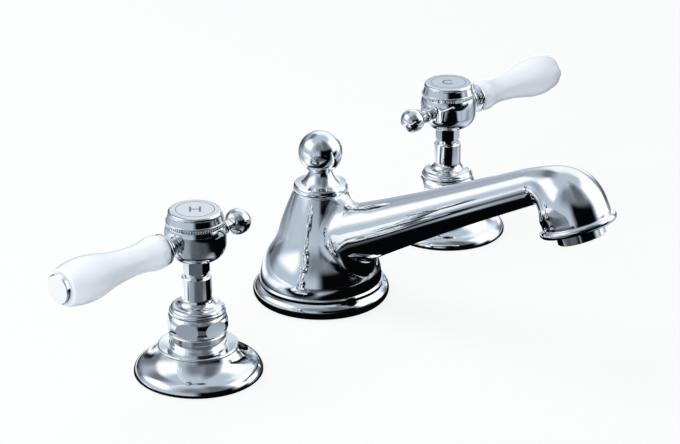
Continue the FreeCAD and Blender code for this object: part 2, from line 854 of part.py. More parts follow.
def make_lever_stem(name, place):
    """Tenon, bead, ferrule and the rod through the grip, drawn along the lever's own axis."""
    rod_end = size.grip_end + size.button_thickness / 2
    turned(name, [
        line(size.stem_depth, 0.0),
        line(size.stem_depth, size.stem_radius),
        line(size.stem_bead_start, size.stem_radius),
        arc((size.stem_bead_start + size.ferrule_start) / 2 - size.stem_step, size.stem_bead_radius,
            size.ferrule_start - size.stem_step, size.stem_radius + size.stem_step),
        line(size.ferrule_start, size.stem_radius + size.stem_step),
        line(size.ferrule_start, size.ferrule_radius - size.ferrule_edge),
        arc((size.ferrule_start + size.grip_start) / 2, size.ferrule_radius,
            size.grip_start, size.ferrule_radius - size.ferrule_edge),
        line(size.grip_start, size.rod_radius),
        line(rod_end, size.rod_radius),
        line(rod_end, 0.0),
    ], axis="H_Axis", **place)


def make_grip(name, place):
    """The porcelain: a bead by the ferrule, a waist and a swelling that closes on the button."""
    bore = size.rod_radius + size.slip
    shoulder = (size.grip_end - size.grip_round, size.grip_shoulder_radius)
    end = (size.grip_end, size.grip_end_radius)
    turned(name, [
        line(size.grip_start, bore),
        line(size.grip_start, size.grip_foot_radius),
        arc(size.grip_bead_at, size.grip_bead_radius, size.grip_bead_end, size.grip_bead_end_radius),
        flow(size.grip_waist_at, size.grip_waist_radius),
        flow(size.grip_swell_at, size.grip_swell_radius),
        flow(*shoulder),
        bulge(shoulder, end, size.grip_round_bulge, size.grip_round_bulge),
        line(size.grip_end, bore),
    ], axis="H_Axis", **place)


def make_button(name, place):
    bore = size.rod_radius + size.slip
    face = size.grip_end + size.button_thickness
    socket_floor = size.grip_end + size.button_thickness / 2 + size.slip
    turned(name, [
        line(size.grip_end, bore),
        line(size.grip_end, size.button_radius),
        line(face - size.button_edge, size.button_radius),
        line(face, size.button_radius - size.button_edge),
        line(face, 0.0),
        line(socket_floor, 0.0),
        line(socket_floor, bore),
    ], axis="H_Axis", **place)


def make_counter_ball(name, place):
    neck = size.ball_neck_radius
    turned(name, [
        line(size.stem_depth, 0.0),
        line(size.stem_depth, size.ball_tenon_radius),
        line(size.ball_bead_at - size.ball_bead_half, size.ball_tenon_radius),
        arc(size.ball_bead_at, size.ball_bead_radius, size.ball_bead_at + size.ball_bead_half, neck),
        line(size.ball_distance - chord_reach(size.ball_radius, neck), neck),
        arc(size.ball_distance, size.ball_radius, size.ball_distance + size.ball_radius, 0.0),
    ], axis="H_Axis", **place)


def make_valve(prefix, x, facing):
    """All pieces of one valve. The handle's pieces also turn by the swing that the levers stand at."""
    y = -size.spout_setback
    handle_turn = facing - size.lever_swing
    spot = {"x": x, "y": y}
    fixed = {"x": x, "y": y, "turn": facing}
    collar_foot = size.flange_height - size.flange_dish
    bonnet_foot = collar_foot + size.collar_height
    gland_foot = bonnet_foot + size.bonnet_height
    hub_foot = gland_foot + size.gland_height + size.handle_gap
    cap_foot = hub_foot + size.hub_height
    lever_height = hub_foot + size.lever_rise
    lever = {"x": x, "y": y, "z": lever_height, "turn": handle_turn}
    handle = {"x": x, "y": y, "z": hub_foot, "turn": handle_turn}

    make_flange(f"{prefix}_flange", fixed)
    ring(f"{prefix}_deck_gasket", size.gasket_inner, size.gasket_outer, size.gasket_thickness, **fixed)
    make_valve_body(f"{prefix}_valve_body", fixed)
    waist = size.collar_radius - size.collar_groove
    turned(f"{prefix}_lock_collar", [
        line(size.tube_radius + size.slip, 0.0),
        line(size.collar_radius, 0.0),
        line(size.collar_radius, size.collar_groove_foot),
        line(waist, size.collar_groove_foot + size.collar_groove),
        line(waist, size.collar_groove_top - size.collar_groove),
        line(size.collar_radius, size.collar_groove_top),
        line(size.collar_radius, size.collar_height - size.collar_groove),
        line(waist, size.collar_height),
        line(size.tube_radius + size.slip, size.collar_height),
    ], z=collar_foot, **fixed)

    seal_top = size.riser_top + size.seal_height
    disc_top = seal_top + size.disc_thickness
    ring(f"{prefix}_inlet_seal", size.riser_bore, size.riser_radius, size.seal_height, z=size.riser_top, **fixed)
    ceramic_disc(f"{prefix}_fixed_disc", {"z": seal_top, **spot}, facing + 90.0)
    ceramic_disc(f"{prefix}_moving_disc", {"z": disc_top + size.running_gap, **spot}, handle_turn)
    make_cartridge(f"{prefix}_cartridge", fixed, gland_foot)
    plate_foot = disc_top + size.disc_thickness + size.running_gap * 2
    spindle_top = hub_foot + size.socket_depth - size.slip
    thread_floor = spindle_top - size.screw_length
    turned(f"{prefix}_spindle", [
        line(0.0, plate_foot),
        line(size.disc_radius - size.slip, plate_foot),
        line(size.disc_radius - size.slip, plate_foot + size.spindle_plate - size.running_gap),
        line(size.spindle_radius, plate_foot + size.spindle_plate - size.running_gap),
        line(size.spindle_radius, spindle_top),
        line(size.screw_radius + size.slip, spindle_top),
        line(size.screw_radius + size.slip, thread_floor),
        line(0.0, thread_floor),
    ], turn=handle_turn, **spot)
    make_bonnet(f"{prefix}_bonnet", {"z": bonnet_foot, "turn": size.flat_turn, **spot})
    make_gland_nut(f"{prefix}_gland_nut", {"z": gland_foot, "turn": size.gland_turn, **spot})

    make_hub(f"{prefix}_handle_hub", handle)
    head_foot = size.socket_depth + size.hub_web
    turned(f"{prefix}_handle_screw", [
        line(0.0, head_foot - size.screw_length),
        line(size.screw_radius, head_foot - size.screw_length),
        line(size.screw_radius, head_foot),
        line(size.screw_head_radius, head_foot),
        line(size.screw_head_radius, head_foot + size.screw_head_height),
        line(0.0, head_foot + size.screw_head_height),
    ], **handle)
    make_cap(f"{prefix}_milled_cap", {**handle, "z": cap_foot})
    turned(f"{prefix}_index_disc", [
        line(0.0, 0.0),
        line(size.index_radius, 0.0),
        line(size.index_radius, size.index_thickness),
        line(0.0, size.index_thickness),
    ], **{**handle, "z": cap_foot + size.cap_height - size.index_thickness})
    make_lever_stem(f"{prefix}_lever_stem", lever)
    make_grip(f"{prefix}_lever_grip", lever)
    make_button(f"{prefix}_end_button", lever)
    make_counter_ball(f"{prefix}_counter_ball", {**lever, "turn": handle_turn + 180.0})
    make_fixings(prefix, size.shank_radius, size.valve_washer_radius, size.valve_nut_flats, x, y)


def make_fixings(prefix, shank, washer_radius, nut_flats, x, y):
    """Rubber washer, metal washer and back nut, one under the other on a shank."""
    bore = shank + size.slip
    rubber_foot = -size.deck_thickness - size.rubber_washer_thickness
    metal_foot = rubber_foot - size.metal_washer_thickness
    ring(f"{prefix}_rubber_washer", bore, washer_radius, size.rubber_washer_thickness, x=x, y=y, z=rubber_foot)
    ring(f"{prefix}_metal_washer", bore, washer_radius, size.metal_washer_thickness, x=x, y=y, z=metal_foot)
    hexagon_nut(f"{prefix}_back_nut", nut_flats, size.nut_height, bore, x=x, y=y, z=metal_foot - size.nut_height)


# The spout. Its body is drawn from its foot, which stands on the base ring.

def arm_place(station):
    """Reach and height of the arm's centre line round the bend, from its start at 0 to the nose at 1."""
    start_height = size.arm_start_height + (size.arm_bend_reach - size.arm_start_reach) * tangent(size.arm_rise)
    turn = bend_turn() * station
    reach = size.arm_bend_reach + size.bend_radius * (sine(turn - size.arm_rise) + sine(size.arm_rise))
    height = start_height + size.bend_radius * (cosine(turn - size.arm_rise) - cosine(size.arm_rise))
    return reach, height


def bend_turn():
    return size.arm_rise + 90.0 - size.nose_tilt


def bend_radius_at(station):
    """The bend carries on the taper for a little, then swells to the nose in a smooth step."""
    share = min(1.0, max(0.0, (station - SWELL_START) / SWELL_SPAN))
    return size.arm_waist_radius + (size.nose_radius - size.arm_waist_radius) * (share * share * (3 - 2 * share))


def nose_place():
    """Reach and height of the centre of the nose's open end."""
    reach, height = arm_place(1.0)
    return reach + size.nose_length * sine(size.nose_tilt), height - size.nose_length * cosine(size.nose_tilt)


def make_spout_body(name):
    body = new_body(name, z=size.base_height)
    spout_side = draw_outline(new_sketch(body, XZ, "bell_outline"), [
        line(0.0, 0.0),
        line(size.body_foot_radius, 0.0),
        arc(size.body_belly_radius, size.body_belly_height, size.body_hip_radius, size.body_hip_height),
        flow(size.body_waist_radius, size.body_waist_height),
        flow(size.body_top_radius, size.body_height),
        line(0.0, size.body_height),
    ])
    revolve(body, spout_side, "bell")

    taper_length = (size.arm_bend_reach - size.arm_start_reach) / cosine(size.arm_rise)
    taper = new_sketch(body, YZ, "taper_outline", x=-size.arm_start_reach, y=size.arm_start_height,
                       axis=Vector(0, 0, 1), angle=180.0 - size.arm_rise)
    draw_outline(taper, [
        line(0.0, 0.0),
        line(taper_length, 0.0),
        line(taper_length, size.arm_waist_radius),
        arc(taper_length / 2, size.arm_middle_radius, 0.0, size.arm_root_radius),
    ])
    arm = revolve(body, taper, "arm_taper", axis="H_Axis")
    doc.recompute()
    fillet = body.newObject("PartDesign::Fillet", "junction_fillet")
    fillet.Base = (arm, junction_edges(arm.Shape))
    fillet.Radius = size.junction_fillet.value
    fillet.setExpression("Radius", size.junction_fillet.formula)
    body.Tip = fillet

    sections = []
    for index, station in enumerate(BEND_STATIONS):
        reach, height = arm_place(station)
        section = new_sketch(body, XY, f"bend_section_{index}", y=-reach, z=height,
                             axis=Vector(1, 0, 0), angle=90.0 - size.arm_rise + bend_turn() * station)
        sections.append(draw_circle(section, bend_radius_at(station)))
    bend = body.newObject("PartDesign::AdditiveLoft", "arm_bend")
    bend.Profile = sections[0]
    bend.Sections = sections[1:]
    doc.recompute()

    reach, height = nose_place()
    thread = size.aerator_thread + size.slip
    nose_foot = (size.nose_radius, 0.0)
    bead_top = (size.nose_radius, size.nose_bead_height)
    nose = new_sketch(body, YZ, "nose_outline", x=-reach, y=height, axis=Vector(0, 0, 1), angle=-size.nose_tilt)
    draw_outline(nose, [
        line(0.0, 0.0),
        line(*nose_foot),
        bulge(nose_foot, bead_top, size.nose_bead_radius - size.nose_radius),
        line(size.nose_radius, size.nose_length),
        line(0.0, size.nose_length),
    ])
    revolve(body, nose, "nose_and_bead")

    inside = draw_outline(new_sketch(body, XZ, "inside_outline"), [
        line(0.0, -OVERCUT),
        line(size.spout_shank_radius + size.slip, -OVERCUT),
        line(size.spout_shank_radius + size.slip, size.body_socket_depth),
        line(size.rod_bore, size.body_socket_depth),
        line(size.rod_bore, size.body_height - size.guide_spigot_length - size.slip),
        line(size.guide_spigot_radius + size.slip, size.body_height - size.guide_spigot_length - size.slip),
        line(size.guide_spigot_radius + size.slip, size.body_height + OVERCUT),
        line(0.0, size.body_height + OVERCUT),
    ])
    groove(body, inside, "socket_and_rod_bore")
    hollow = draw_outline(new_sketch(body, XZ, "hollow_outline"), [
        line(size.body_hollow_inner, -OVERCUT),
        line(size.body_hollow_outer, -OVERCUT),
        line(size.body_hollow_top, size.body_hollow_height),
        line(size.body_hollow_inner, size.body_hollow_height),
    ])
    groove(body, hollow, "cored_hollow")
    cavity = new_sketch(body, YZ, "aerator_cavity", x=-reach, y=height, axis=Vector(0, 0, 1), angle=-size.nose_tilt)
    draw_outline(cavity, [
        line(0.0, -OVERCUT),
        line(thread, -OVERCUT),
        line(thread, size.aerator_depth),
        line(size.waterway_radius, size.aerator_depth + size.waterway_radius),
        line(0.0, size.aerator_depth + size.waterway_radius),
    ])
    groove(body, cavity, "aerator_bore")

    start_level = size.body_socket_depth - OVERCUT
    axis_height = size.arm_start_height + (size.waterway_offset - size.arm_start_reach) * tangent(size.arm_rise)
    setback = size.waterway_bend * tangent((90.0 - size.arm_rise) / 2)
    bend_start = arm_place(0.0)
    path = draw_outline(new_sketch(body, YZ, "waterway_path"), [
        line(-size.waterway_offset, start_level),
        line(-size.waterway_offset, axis_height - setback),
        flow(-(size.waterway_offset + setback * cosine(size.arm_rise)), axis_height + setback * sine(size.arm_rise)),
        line(-bend_start[0], bend_start[1]),
        flow(-arm_place(WATERWAY_END)[0], arm_place(WATERWAY_END)[1]),
    ], closed=False)
    mouth_circle = draw_circle(new_sketch(body, XY, "waterway_round", z=start_level),
                               size.waterway_radius, 0.0, -size.waterway_offset)
    waterway = body.newObject("PartDesign::SubtractivePipe", "waterway")
    waterway.Profile = mouth_circle
    waterway.Spine = path
    body.Tip = waterway


def junction_edges(shape):
    """Names of the freeform edges where the arm leaves the bell."""
    names = []
    for index, edge in enumerate(shape.Edges, start=1):
        freeform = isinstance(edge.Curve, Part.BSplineCurve)
        if freeform and edge.BoundBox.YMin > -size.body_foot_radius.value:
            names.append(f"Edge{index}")
    return names


def make_spout():
    rim_foot = (size.base_radius - size.base_round, 0.0)
    rim_top = (size.base_radius - size.base_round, size.base_round_top)
    turned("spout_base_ring", [
        line(size.spout_gasket_outer + size.slip, 0.0),
        line(*rim_foot),
        bulge(rim_foot, rim_top, size.base_round),
        line(size.base_lip_radius, size.base_rim_height),
        line(size.base_lip_radius, size.base_height - size.base_lip_edge),
        line(size.base_lip_radius - size.base_lip_edge, size.base_height),
        line(size.spout_shank_radius + size.slip, size.base_height),
        line(size.spout_shank_radius + size.slip, size.base_height - size.base_floor),
        line(size.spout_gasket_inner, size.base_height - size.base_floor),
        line(size.spout_gasket_outer - size.gasket_ledge, size.gasket_thickness + size.base_floor),
        line(size.spout_gasket_outer - size.gasket_ledge, size.gasket_thickness),
        line(size.spout_gasket_outer + size.slip, size.gasket_thickness),
    ])
    ring("spout_deck_gasket", size.spout_gasket_inner, size.spout_gasket_outer, size.gasket_thickness)
    make_spout_body("spout_body")
    make_shank("spout_shank")
    make_fixings("spout", size.spout_shank_radius, size.spout_washer_radius, size.spout_nut_flats, 0.0, 0.0)
    make_knob()
    make_aerator()


def make_shank(name):
    """The threaded shank, with the pop-up rod's bore on its axis and the waterway in front of it."""
    body = new_body(name, z=-size.spout_shank_length)
    length = size.spout_shank_length + size.base_height + size.body_socket_depth - size.slip
    outline = draw_circle(new_sketch(body, XY, "shank_round"), size.spout_shank_radius)
    draw_circle(outline, size.rod_bore)
    draw_circle(outline, size.waterway_radius, 0.0, -size.waterway_offset)
    pad(body, outline, length)
    inlet = draw_circle(new_sketch(body, XY, "inlet_round"), size.inlet_thread_radius, 0.0, -size.waterway_offset)
    pocket(body, inlet, size.inlet_thread_length, "inlet", reversed_way=True)


def make_knob():
    """The guide collar on the body, its bush, and the ball and rod that slide in it."""
    bore = size.lift_rod_radius + size.running_gap
    top = size.base_height + size.body_height
    bush_radius = size.guide_spigot_radius - size.guide_wall
    disc_foot = (size.guide_radius - size.guide_round, 0.0)
    disc_top = (size.guide_radius - size.guide_round, size.guide_disc_height)
    shoulder = (size.guide_shoulder_radius, size.guide_disc_height + size.guide_face_rise)
    turned("guide_collar", [
        line(bush_radius + size.slip, -size.guide_spigot_length),
        line(size.guide_spigot_radius, -size.guide_spigot_length),
        line(size.guide_spigot_radius, 0.0),
        line(*disc_foot),
        bulge(disc_foot, disc_top, size.guide_round),
        line(*shoulder),
        bulge(shoulder, (size.guide_neck_radius, size.guide_height), -size.guide_flare),
        line(bore, size.guide_height - size.guide_dish),
        line(bore, 0.0),
        line(bush_radius + size.slip, 0.0),
    ], z=top)
    ring("guide_bush", bore, bush_radius, size.guide_spigot_length - size.slip,
         z=top - size.guide_spigot_length)
    knob_centre = top + size.guide_height + chord_reach(size.knob_radius, size.guide_neck_radius) + size.slip
    socket = size.lift_rod_radius + size.slip
    turned("lift_knob", [
        line(0.0, -size.knob_socket_top),
        line(socket, -size.knob_socket_top),
        line(socket, -chord_reach(size.knob_radius, socket)),
        arc(size.knob_radius, 0.0, 0.0, size.knob_radius),
    ], z=knob_centre)
    turned("lift_rod", [
        line(0.0, -size.lift_rod_below),
        line(size.rod_thread_radius, -size.lift_rod_below),
        line(size.rod_thread_radius, size.rod_thread_length - size.lift_rod_below),
        line(size.lift_rod_radius, size.rod_thread_length - size.lift_rod_below),
        line(size.lift_rod_radius, knob_centre - size.knob_socket_top - size.slip),
        line(0.0, knob_centre - size.knob_socket_top - size.slip),
    ])


def make_aerator():
    """Housing, insert and seal, drawn on the nose's own axis and tilted with it."""
    reach, height = nose_place()
    nose = {"y": -reach, "z": size.base_height + height, "tilt": -size.nose_tilt}
    bore = size.aerator_radius - size.aerator_wall
    housing_top = size.aerator_depth - size.seal_thickness
    turned("aerator_housing", [
        line(bore - size.aerator_lip, -size.aerator_drop),
        line(size.aerator_radius - size.aerator_edge, -size.aerator_drop),
        line(size.aerator_radius, size.aerator_edge - size.aerator_drop),
        line(size.aerator_radius, 0.0),
        line(size.aerator_thread, 0.0),
        line(size.aerator_thread, housing_top),
        line(bore, housing_top),
        line(bore, size.aerator_lip - size.aerator_drop),
        line(bore - size.aerator_lip, size.aerator_lip - size.aerator_drop),
    ], **nose)
    insert = turned("aerator_insert", [
        line(0.0, size.aerator_lip - size.aerator_drop),
        line(bore - size.slip, size.aerator_lip - size.aerator_drop),
        line(bore - size.slip, housing_top),
        line(0.0, housing_top),
    ], **nose)
    hole = draw_circle(new_sketch(insert, XY, "hole_round", z=housing_top),
                       size.aerator_hole_radius, size.aerator_hole_ring, 0.0)
    repeat(insert, pocket(insert, hole, housing_top + size.aerator_drop, "hole"), 6)
    ring("aerator_seal", bore - size.aerator_lip, size.aerator_thread, size.seal_thickness,
         **{**nose, "y": -(reach - housing_top * sine(size.nose_tilt)),
            "z": size.base_height + height + housing_top * cosine(size.nose_tilt)})


def check_and_write():
    """Stops if a feature failed, then writes one STEP file for each piece."""
    doc.recompute()
    for item in doc.Objects:
        if "Invalid" in item.State or "Error" in item.State:
            raise RuntimeError(f"{item.Label} is {item.State}")
    os.makedirs("parts", exist_ok=True)
    bodies = [item for item in doc.Objects if item.TypeId == "PartDesign::Body"]
    for body in bodies:
        shape = body.Shape
        if shape.isNull() or not shape.isValid() or not shape.Solids:
            raise RuntimeError(f"{body.Label} has no valid solid")
        shape.exportStep(f"parts/{body.Label}.step")
        print(f"{body.Label:24s} solids {len(shape.Solids)} faces {len(shape.Faces)} volume {shape.Volume:.0f}")
    print(len(bodies), "pieces")


make_valve("hot", -size.hole_spacing, STRAIGHT_BACK)
make_valve("cold", size.hole_spacing, STRAIGHT_OUT)
make_spout()
check_and_write()
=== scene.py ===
# %% [markdown]
# # A three-hole basin mixer in chrome and porcelain
# The set has a cast spout with a pop-up waste knob, and a hot and a cold side valve with porcelain levers.
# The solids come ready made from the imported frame, at their real size and in their real place. This lesson
# gives them their finish, adds the fine work that is cut or filled in last (the milled band of each cap, its
# index ring and letter, the threads and the strainer), and lights the set as in the photograph.

# %% Load the frame and note its size
import json
import math

import bpy
import numpy as np
from mathutils import Matrix, Vector


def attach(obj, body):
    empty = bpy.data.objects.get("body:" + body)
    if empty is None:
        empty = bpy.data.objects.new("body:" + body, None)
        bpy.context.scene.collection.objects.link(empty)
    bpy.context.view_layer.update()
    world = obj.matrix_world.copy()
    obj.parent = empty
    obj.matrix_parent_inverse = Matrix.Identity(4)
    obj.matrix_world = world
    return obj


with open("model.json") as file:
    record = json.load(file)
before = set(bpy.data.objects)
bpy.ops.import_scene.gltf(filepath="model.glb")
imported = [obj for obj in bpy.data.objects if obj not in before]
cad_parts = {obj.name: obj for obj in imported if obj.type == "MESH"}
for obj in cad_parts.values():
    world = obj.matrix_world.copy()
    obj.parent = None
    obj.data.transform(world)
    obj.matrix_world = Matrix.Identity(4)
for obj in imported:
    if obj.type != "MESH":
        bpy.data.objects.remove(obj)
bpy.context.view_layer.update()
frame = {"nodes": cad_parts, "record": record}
nodes = frame["nodes"]
MM = 0.001

# %% [markdown]
# ## The camera
# A product photographer stands well back and uses a long lens, so that the three parts keep their true
# proportions. The view here is to the left of the spout and looks down at about 23 degrees. The camera is
# placed on a sphere round a point above the deck, and its axes are written straight into its matrix. That
# keeps the verticals upright and needs no tracking constraint.

# %% Place the camera
AZIMUTH = math.radians(-54.25)
ELEVATION = math.radians(22.98)
AIM = Vector((17.95, 1.81, 30.0)) * MM
DISTANCE = 1283.0 * MM
PHOTO_WIDTH = 680
FOCAL_PIXELS = 2682.0
SENSOR = 36.0
CLIP_NEAR, CLIP_FAR = 0.05, 50.0


def camera_axes():
    """The camera's right, up and backward directions, from its azimuth and elevation."""
    back = Vector((math.sin(AZIMUTH) * math.cos(ELEVATION),
                   -math.cos(AZIMUTH) * math.cos(ELEVATION),
                   math.sin(ELEVATION)))
    right = (-back).cross(Vector((0, 0, 1))).normalized()
    return right, right.cross(-back), back


def make_camera():
    """Writes the three axes and the camera's place into its matrix."""
    right, up, back = camera_axes()
    data = bpy.data.cameras.new("camera")
    data.sensor_width = SENSOR
    data.lens = FOCAL_PIXELS * SENSOR / PHOTO_WIDTH
    data.clip_start, data.clip_end = CLIP_NEAR, CLIP_FAR
    camera = bpy.data.objects.new("camera", data)
    spot = AIM + back * DISTANCE
    camera.matrix_world = Matrix((
        (right.x, up.x, back.x, spot.x),
        (right.y, up.y, back.y, spot.y),
        (right.z, up.z, back.z, spot.z),
        (0, 0, 0, 1)))
    bpy.context.scene.collection.objects.link(camera)
    bpy.context.scene.camera = camera
    print("lens", round(data.lens, 1), "mm, camera at", [round(v, 3) for v in spot])


make_camera()

# %% [markdown]
# ## Helpers for materials and meshes
# Each finish is a small node tree. These helpers start one, add nodes by name, and turn arrays of points and
# faces into an object. They keep the cells below short enough to read as a recipe.

# %% Helpers


def new_material(name):
    """An empty node tree with an output."""
    material = bpy.data.materials.new(name)
    material.use_nodes = True
    tree = material.node_tree
    tree.nodes.clear()
    tree.nodes.new("ShaderNodeOutputMaterial")
    return material, tree


def add(tree, kind, **values):
    """Adds a node and sets its properties and inputs by name."""
    node = tree.nodes.new(kind)
    for key, value in values.items():
        if hasattr(node, key):
            setattr(node, key, value)
        else:
            node.inputs[key.replace("_", " ")].default_value = value
    return node


def mesh_object(name, points, faces, smooth=True):
    """A mesh from an array of points and an array of faces, as an object at the origin."""
    mesh = bpy.data.meshes.new(name)
    mesh.from_pydata(np.asarray(points).tolist(), [], np.asarray(faces).tolist())
    mesh.polygons.foreach_set("use_smooth", np.full(len(mesh.polygons), smooth))
    mesh.update()
    piece = bpy.data.objects.new(name, mesh)
    bpy.context.scene.collection.objects.link(piece)
    return piece


# %% [markdown]
# ## White room and white floor
# The photograph has a plain white ground. Here the ground is white by its own colour for the rays that see
# it: straight from the camera, or by way of a mirror or glass. The soft light that falls on the set is
# weaker, so the porcelain keeps its shading, and a part of the floor stays matt to hold a faint shadow.

# %% World and floor
WORLD_SOFT = 0.50
FLOOR_HALF = 3.0
FLOOR_LEVEL = -0.0002
# Share of the floor's look that is plain white. The rest is matt and keeps the shadow.
FLOOR_WHITE = 0.85


def seen_ray(tree):
    """1 for rays from the camera, a mirror or glass, 0 for the rays that carry soft light."""
    path = add(tree, "ShaderNodeLightPath")
    first = add(tree, "ShaderNodeMath", operation="MAXIMUM")
    second = add(tree, "ShaderNodeMath", operation="MAXIMUM")
    tree.links.new(path.outputs["Is Camera Ray"], first.inputs[0])
    tree.links.new(path.outputs["Is Glossy Ray"], first.inputs[1])
    tree.links.new(first.outputs[0], second.inputs[0])
    tree.links.new(path.outputs["Is Transmission Ray"], second.inputs[1])
    return second.outputs[0]


def make_world():
    """White for the rays that see it, a softer blue-white for the light that falls on the set."""
    world = bpy.data.worlds.new("studio")
    bpy.context.scene.world = world
    world.use_nodes = True
    tree = world.node_tree
    tree.nodes.clear()
    output = add(tree, "ShaderNodeOutputWorld")
    soft = add(tree, "ShaderNodeBackground", Color=(0.86, 0.93, 1.0, 1), Strength=WORLD_SOFT)
    white = add(tree, "ShaderNodeBackground", Color=(1, 1, 1, 1), Strength=1.0)
    mix = add(tree, "ShaderNodeMixShader")
    tree.links.new(seen_ray(tree), mix.inputs[0])
    tree.links.new(soft.outputs[0], mix.inputs[1])
    tree.links.new(white.outputs[0], mix.inputs[2])
    tree.links.new(mix.outputs[0], output.inputs[0])


def make_floor():
    """A square just under the deck level, mostly plain white, with a matt share for the shadow."""
    corners = np.array([(-1, -1, 0), (1, -1, 0), (1, 1, 0), (-1, 1, 0)]) * FLOOR_HALF
    corners[:, 2] = FLOOR_LEVEL
    floor = mesh_object("floor", corners, np.array([(0, 1, 2, 3)]), smooth=False)
    material, tree = new_material("floor_white")
    matt = add(tree, "ShaderNodeBsdfDiffuse", Color=(0.86, 0.87, 0.88, 1))
    white = add(tree, "ShaderNodeEmission", Color=(1, 1, 1, 1), Strength=1.0)
    share = add(tree, "ShaderNodeMath", operation="MULTIPLY")
    share.inputs[1].default_value = FLOOR_WHITE
    mix = add(tree, "ShaderNodeMixShader")
    tree.links.new(seen_ray(tree), share.inputs[0])
    tree.links.new(share.outputs[0], mix.inputs[0])
    tree.links.new(matt.outputs[0], mix.inputs[1])
    tree.links.new(white.outputs[0], mix.inputs[2])
    tree.links.new(mix.outputs[0], tree.nodes["Material Output"].inputs[0])
    floor.data.materials.append(material)


make_world()
make_floor()
print("world and floor ready")

# %% [markdown]
# ## What the chrome reflects
# Chrome has no colour of its own: it shows the room. Here the room that it shows is painted reflection: a dome
# of white, grey and dark soft-edged patches round the set, and a painted dark reflection on the table under
# the spout. Each patch sits at a compass bearing and a height angle. The dome is one glowing mesh whose
# brightness is built up from those patches, and only mirrors see it. That is how the edges of the metal get
# their painted dark lines and the middle of each upright its painted black band.

# %% Patches of the painted reflection dome
# Radius and base brightness of the painted reflection dome
REFLECTION_DOME_RADIUS = 1.5
REFLECTION_DOME_BASE = 0.56
# Painted reflection patches: bearing, height, half width, half height and edge softness in degrees, then
# brightness
DOME_REFLECTION_PATCHES = [
    (82.0, 10.0, 26.0, 16.0, 12.0, 0.18),
    (78.0, 50.0, 24.0, 12.0, 10.0, 0.18),
    (132.0, 36.0, 30.0, 17.0, 8.0, 1.15),
    (150.0, 2.0, 16.0, 8.0, 6.0, 0.60),
    (22.0, 44.0, 34.0, 18.0, 10.0, 1.02),
    (205.0, 44.0, 24.0, 22.0, 16.0, 0.22),
    (250.0, 52.0, 24.0, 26.0, 16.0, 0.14),
    (317.0, 22.0, 33.0, 34.0, 9.0, 1.30),
    (246.0, 7.0, 34.0, 24.0, 9.0, 0.002),
    (278.0, -4.0, 32.0, 13.0, 6.0, 0.002),
    (352.0, 10.0, 9.0, 12.0, 8.0, 0.30),
    (20.0, 6.0, 18.0, 10.0, 5.0, 1.15),
    (69.0, 0.0, 12.0, 10.0, 4.0, 0.02),
    (354.0, -4.0, 14.0, 9.0, 5.0, 0.03),
]
# Painted reflection patches on the table, told by bearing and by the height angle that a mirror at handle
# level sees them at
TABLE_REFLECTION_BASE = 0.42
TABLE_REFLECTION_PATCHES = [
    (80.0, -36.0, 30.0, 14.0, 6.0, 1.20),
    (138.0, -16.0, 22.0, 18.0, 8.0, 1.05),
    (34.0, -24.0, 18.0, 34.0, 6.0, 1.25),
    (312.0, -20.0, 28.0, 26.0, 8.0, 0.80),
    (280.0, -9.0, 28.0, 12.0, 6.0, 0.002),
    (182.0, -20.0, 18.0, 22.0, 9.0, 0.30),
    (70.0, -10.0, 11.0, 10.0, 4.0, 0.015),
    (354.0, -16.0, 12.0, 14.0, 5.0, 0.02),
    (232.0, -20.0, 34.0, 26.0, 8.0, 0.002),
    (152.0, -50.0, 7.0, 28.0, 3.0, 0.002),
]
TABLE_EYE = 45.0 * MM
# Middle of each stand of the set and how far the painted dark reflection round it reaches
STANDS = np.array([(-100.0, -5.0, 34.0), (0.0, 0.0, 46.0), (100.0, -5.0, 34.0), (5.0, -62.0, 62.0),
                   (5.0, -120.0, 62.0)]) * MM
# Soft edge and brightness of the painted dark reflection round each stand
DARK_REFLECTION_EDGE = 22.0 * MM
DARK_REFLECTION_LEVEL = 0.002
print("tent of", len(DOME_REFLECTION_PATCHES), "patches, table of", len(TABLE_REFLECTION_PATCHES))

# %% [markdown]
# ### From patches to painted reflection cards
# A patch needs a soft edge, or the metal would show a hard line. A smooth step does that: it goes from 1 to 0
# over twice the softness, with no kink at either end. The result is kept as a colour on the points of a card,
# which glows with it as painted reflection. The grey of the painted reflection is bluish in the photograph and
# its white is neutral, so the tint fades out as a card gets brighter. Only mirror rays see the cards, so they
# add no light and no shadow.

# %% Soft patches and painted reflection cards
# Bluish tint of the grey in the painted reflection
PAINTED_REFLECTION_GREY_TINT = np.array([0.87, 1.0, 1.14])
WHITE_FROM, WHITE_SPAN = 0.6, 0.5
TURN_STEP = 2.0


def smooth_step(value):
    """0 to 1, level at both ends: 3 v squared less 2 v cubed."""
    step = np.clip(value, 0.0, 1.0)
    return step * step * (3 - 2 * step)


def brightness(bearing, height, base, patches):
    """The base level with each patch laid over it, its edges faded by a smooth step."""
    level = np.full(np.broadcast(bearing, height).shape, base)
    for at, up, half_width, half_height, soft, value in patches:
        across = np.abs((bearing - at + 180.0) % 360.0 - 180.0)
        fade = 1.0
        for distance, half in ((across, half_width), (np.abs(height - up), half_height)):
            fade = fade * smooth_step((half + soft - distance) / (2 * soft))
        level = level + (value - level) * fade
    return level


def grid_faces(rows, columns):
    """Faces of a grid of points that closes on itself in its columns."""
    row, column = np.meshgrid(np.arange(rows - 1), np.arange(columns), indexing="ij")
    after = (column + 1) % columns
    return np.stack([row * columns + column, row * columns + after,
                     (row + 1) * columns + after, (row + 1) * columns + column], axis=-1).reshape(-1, 4)


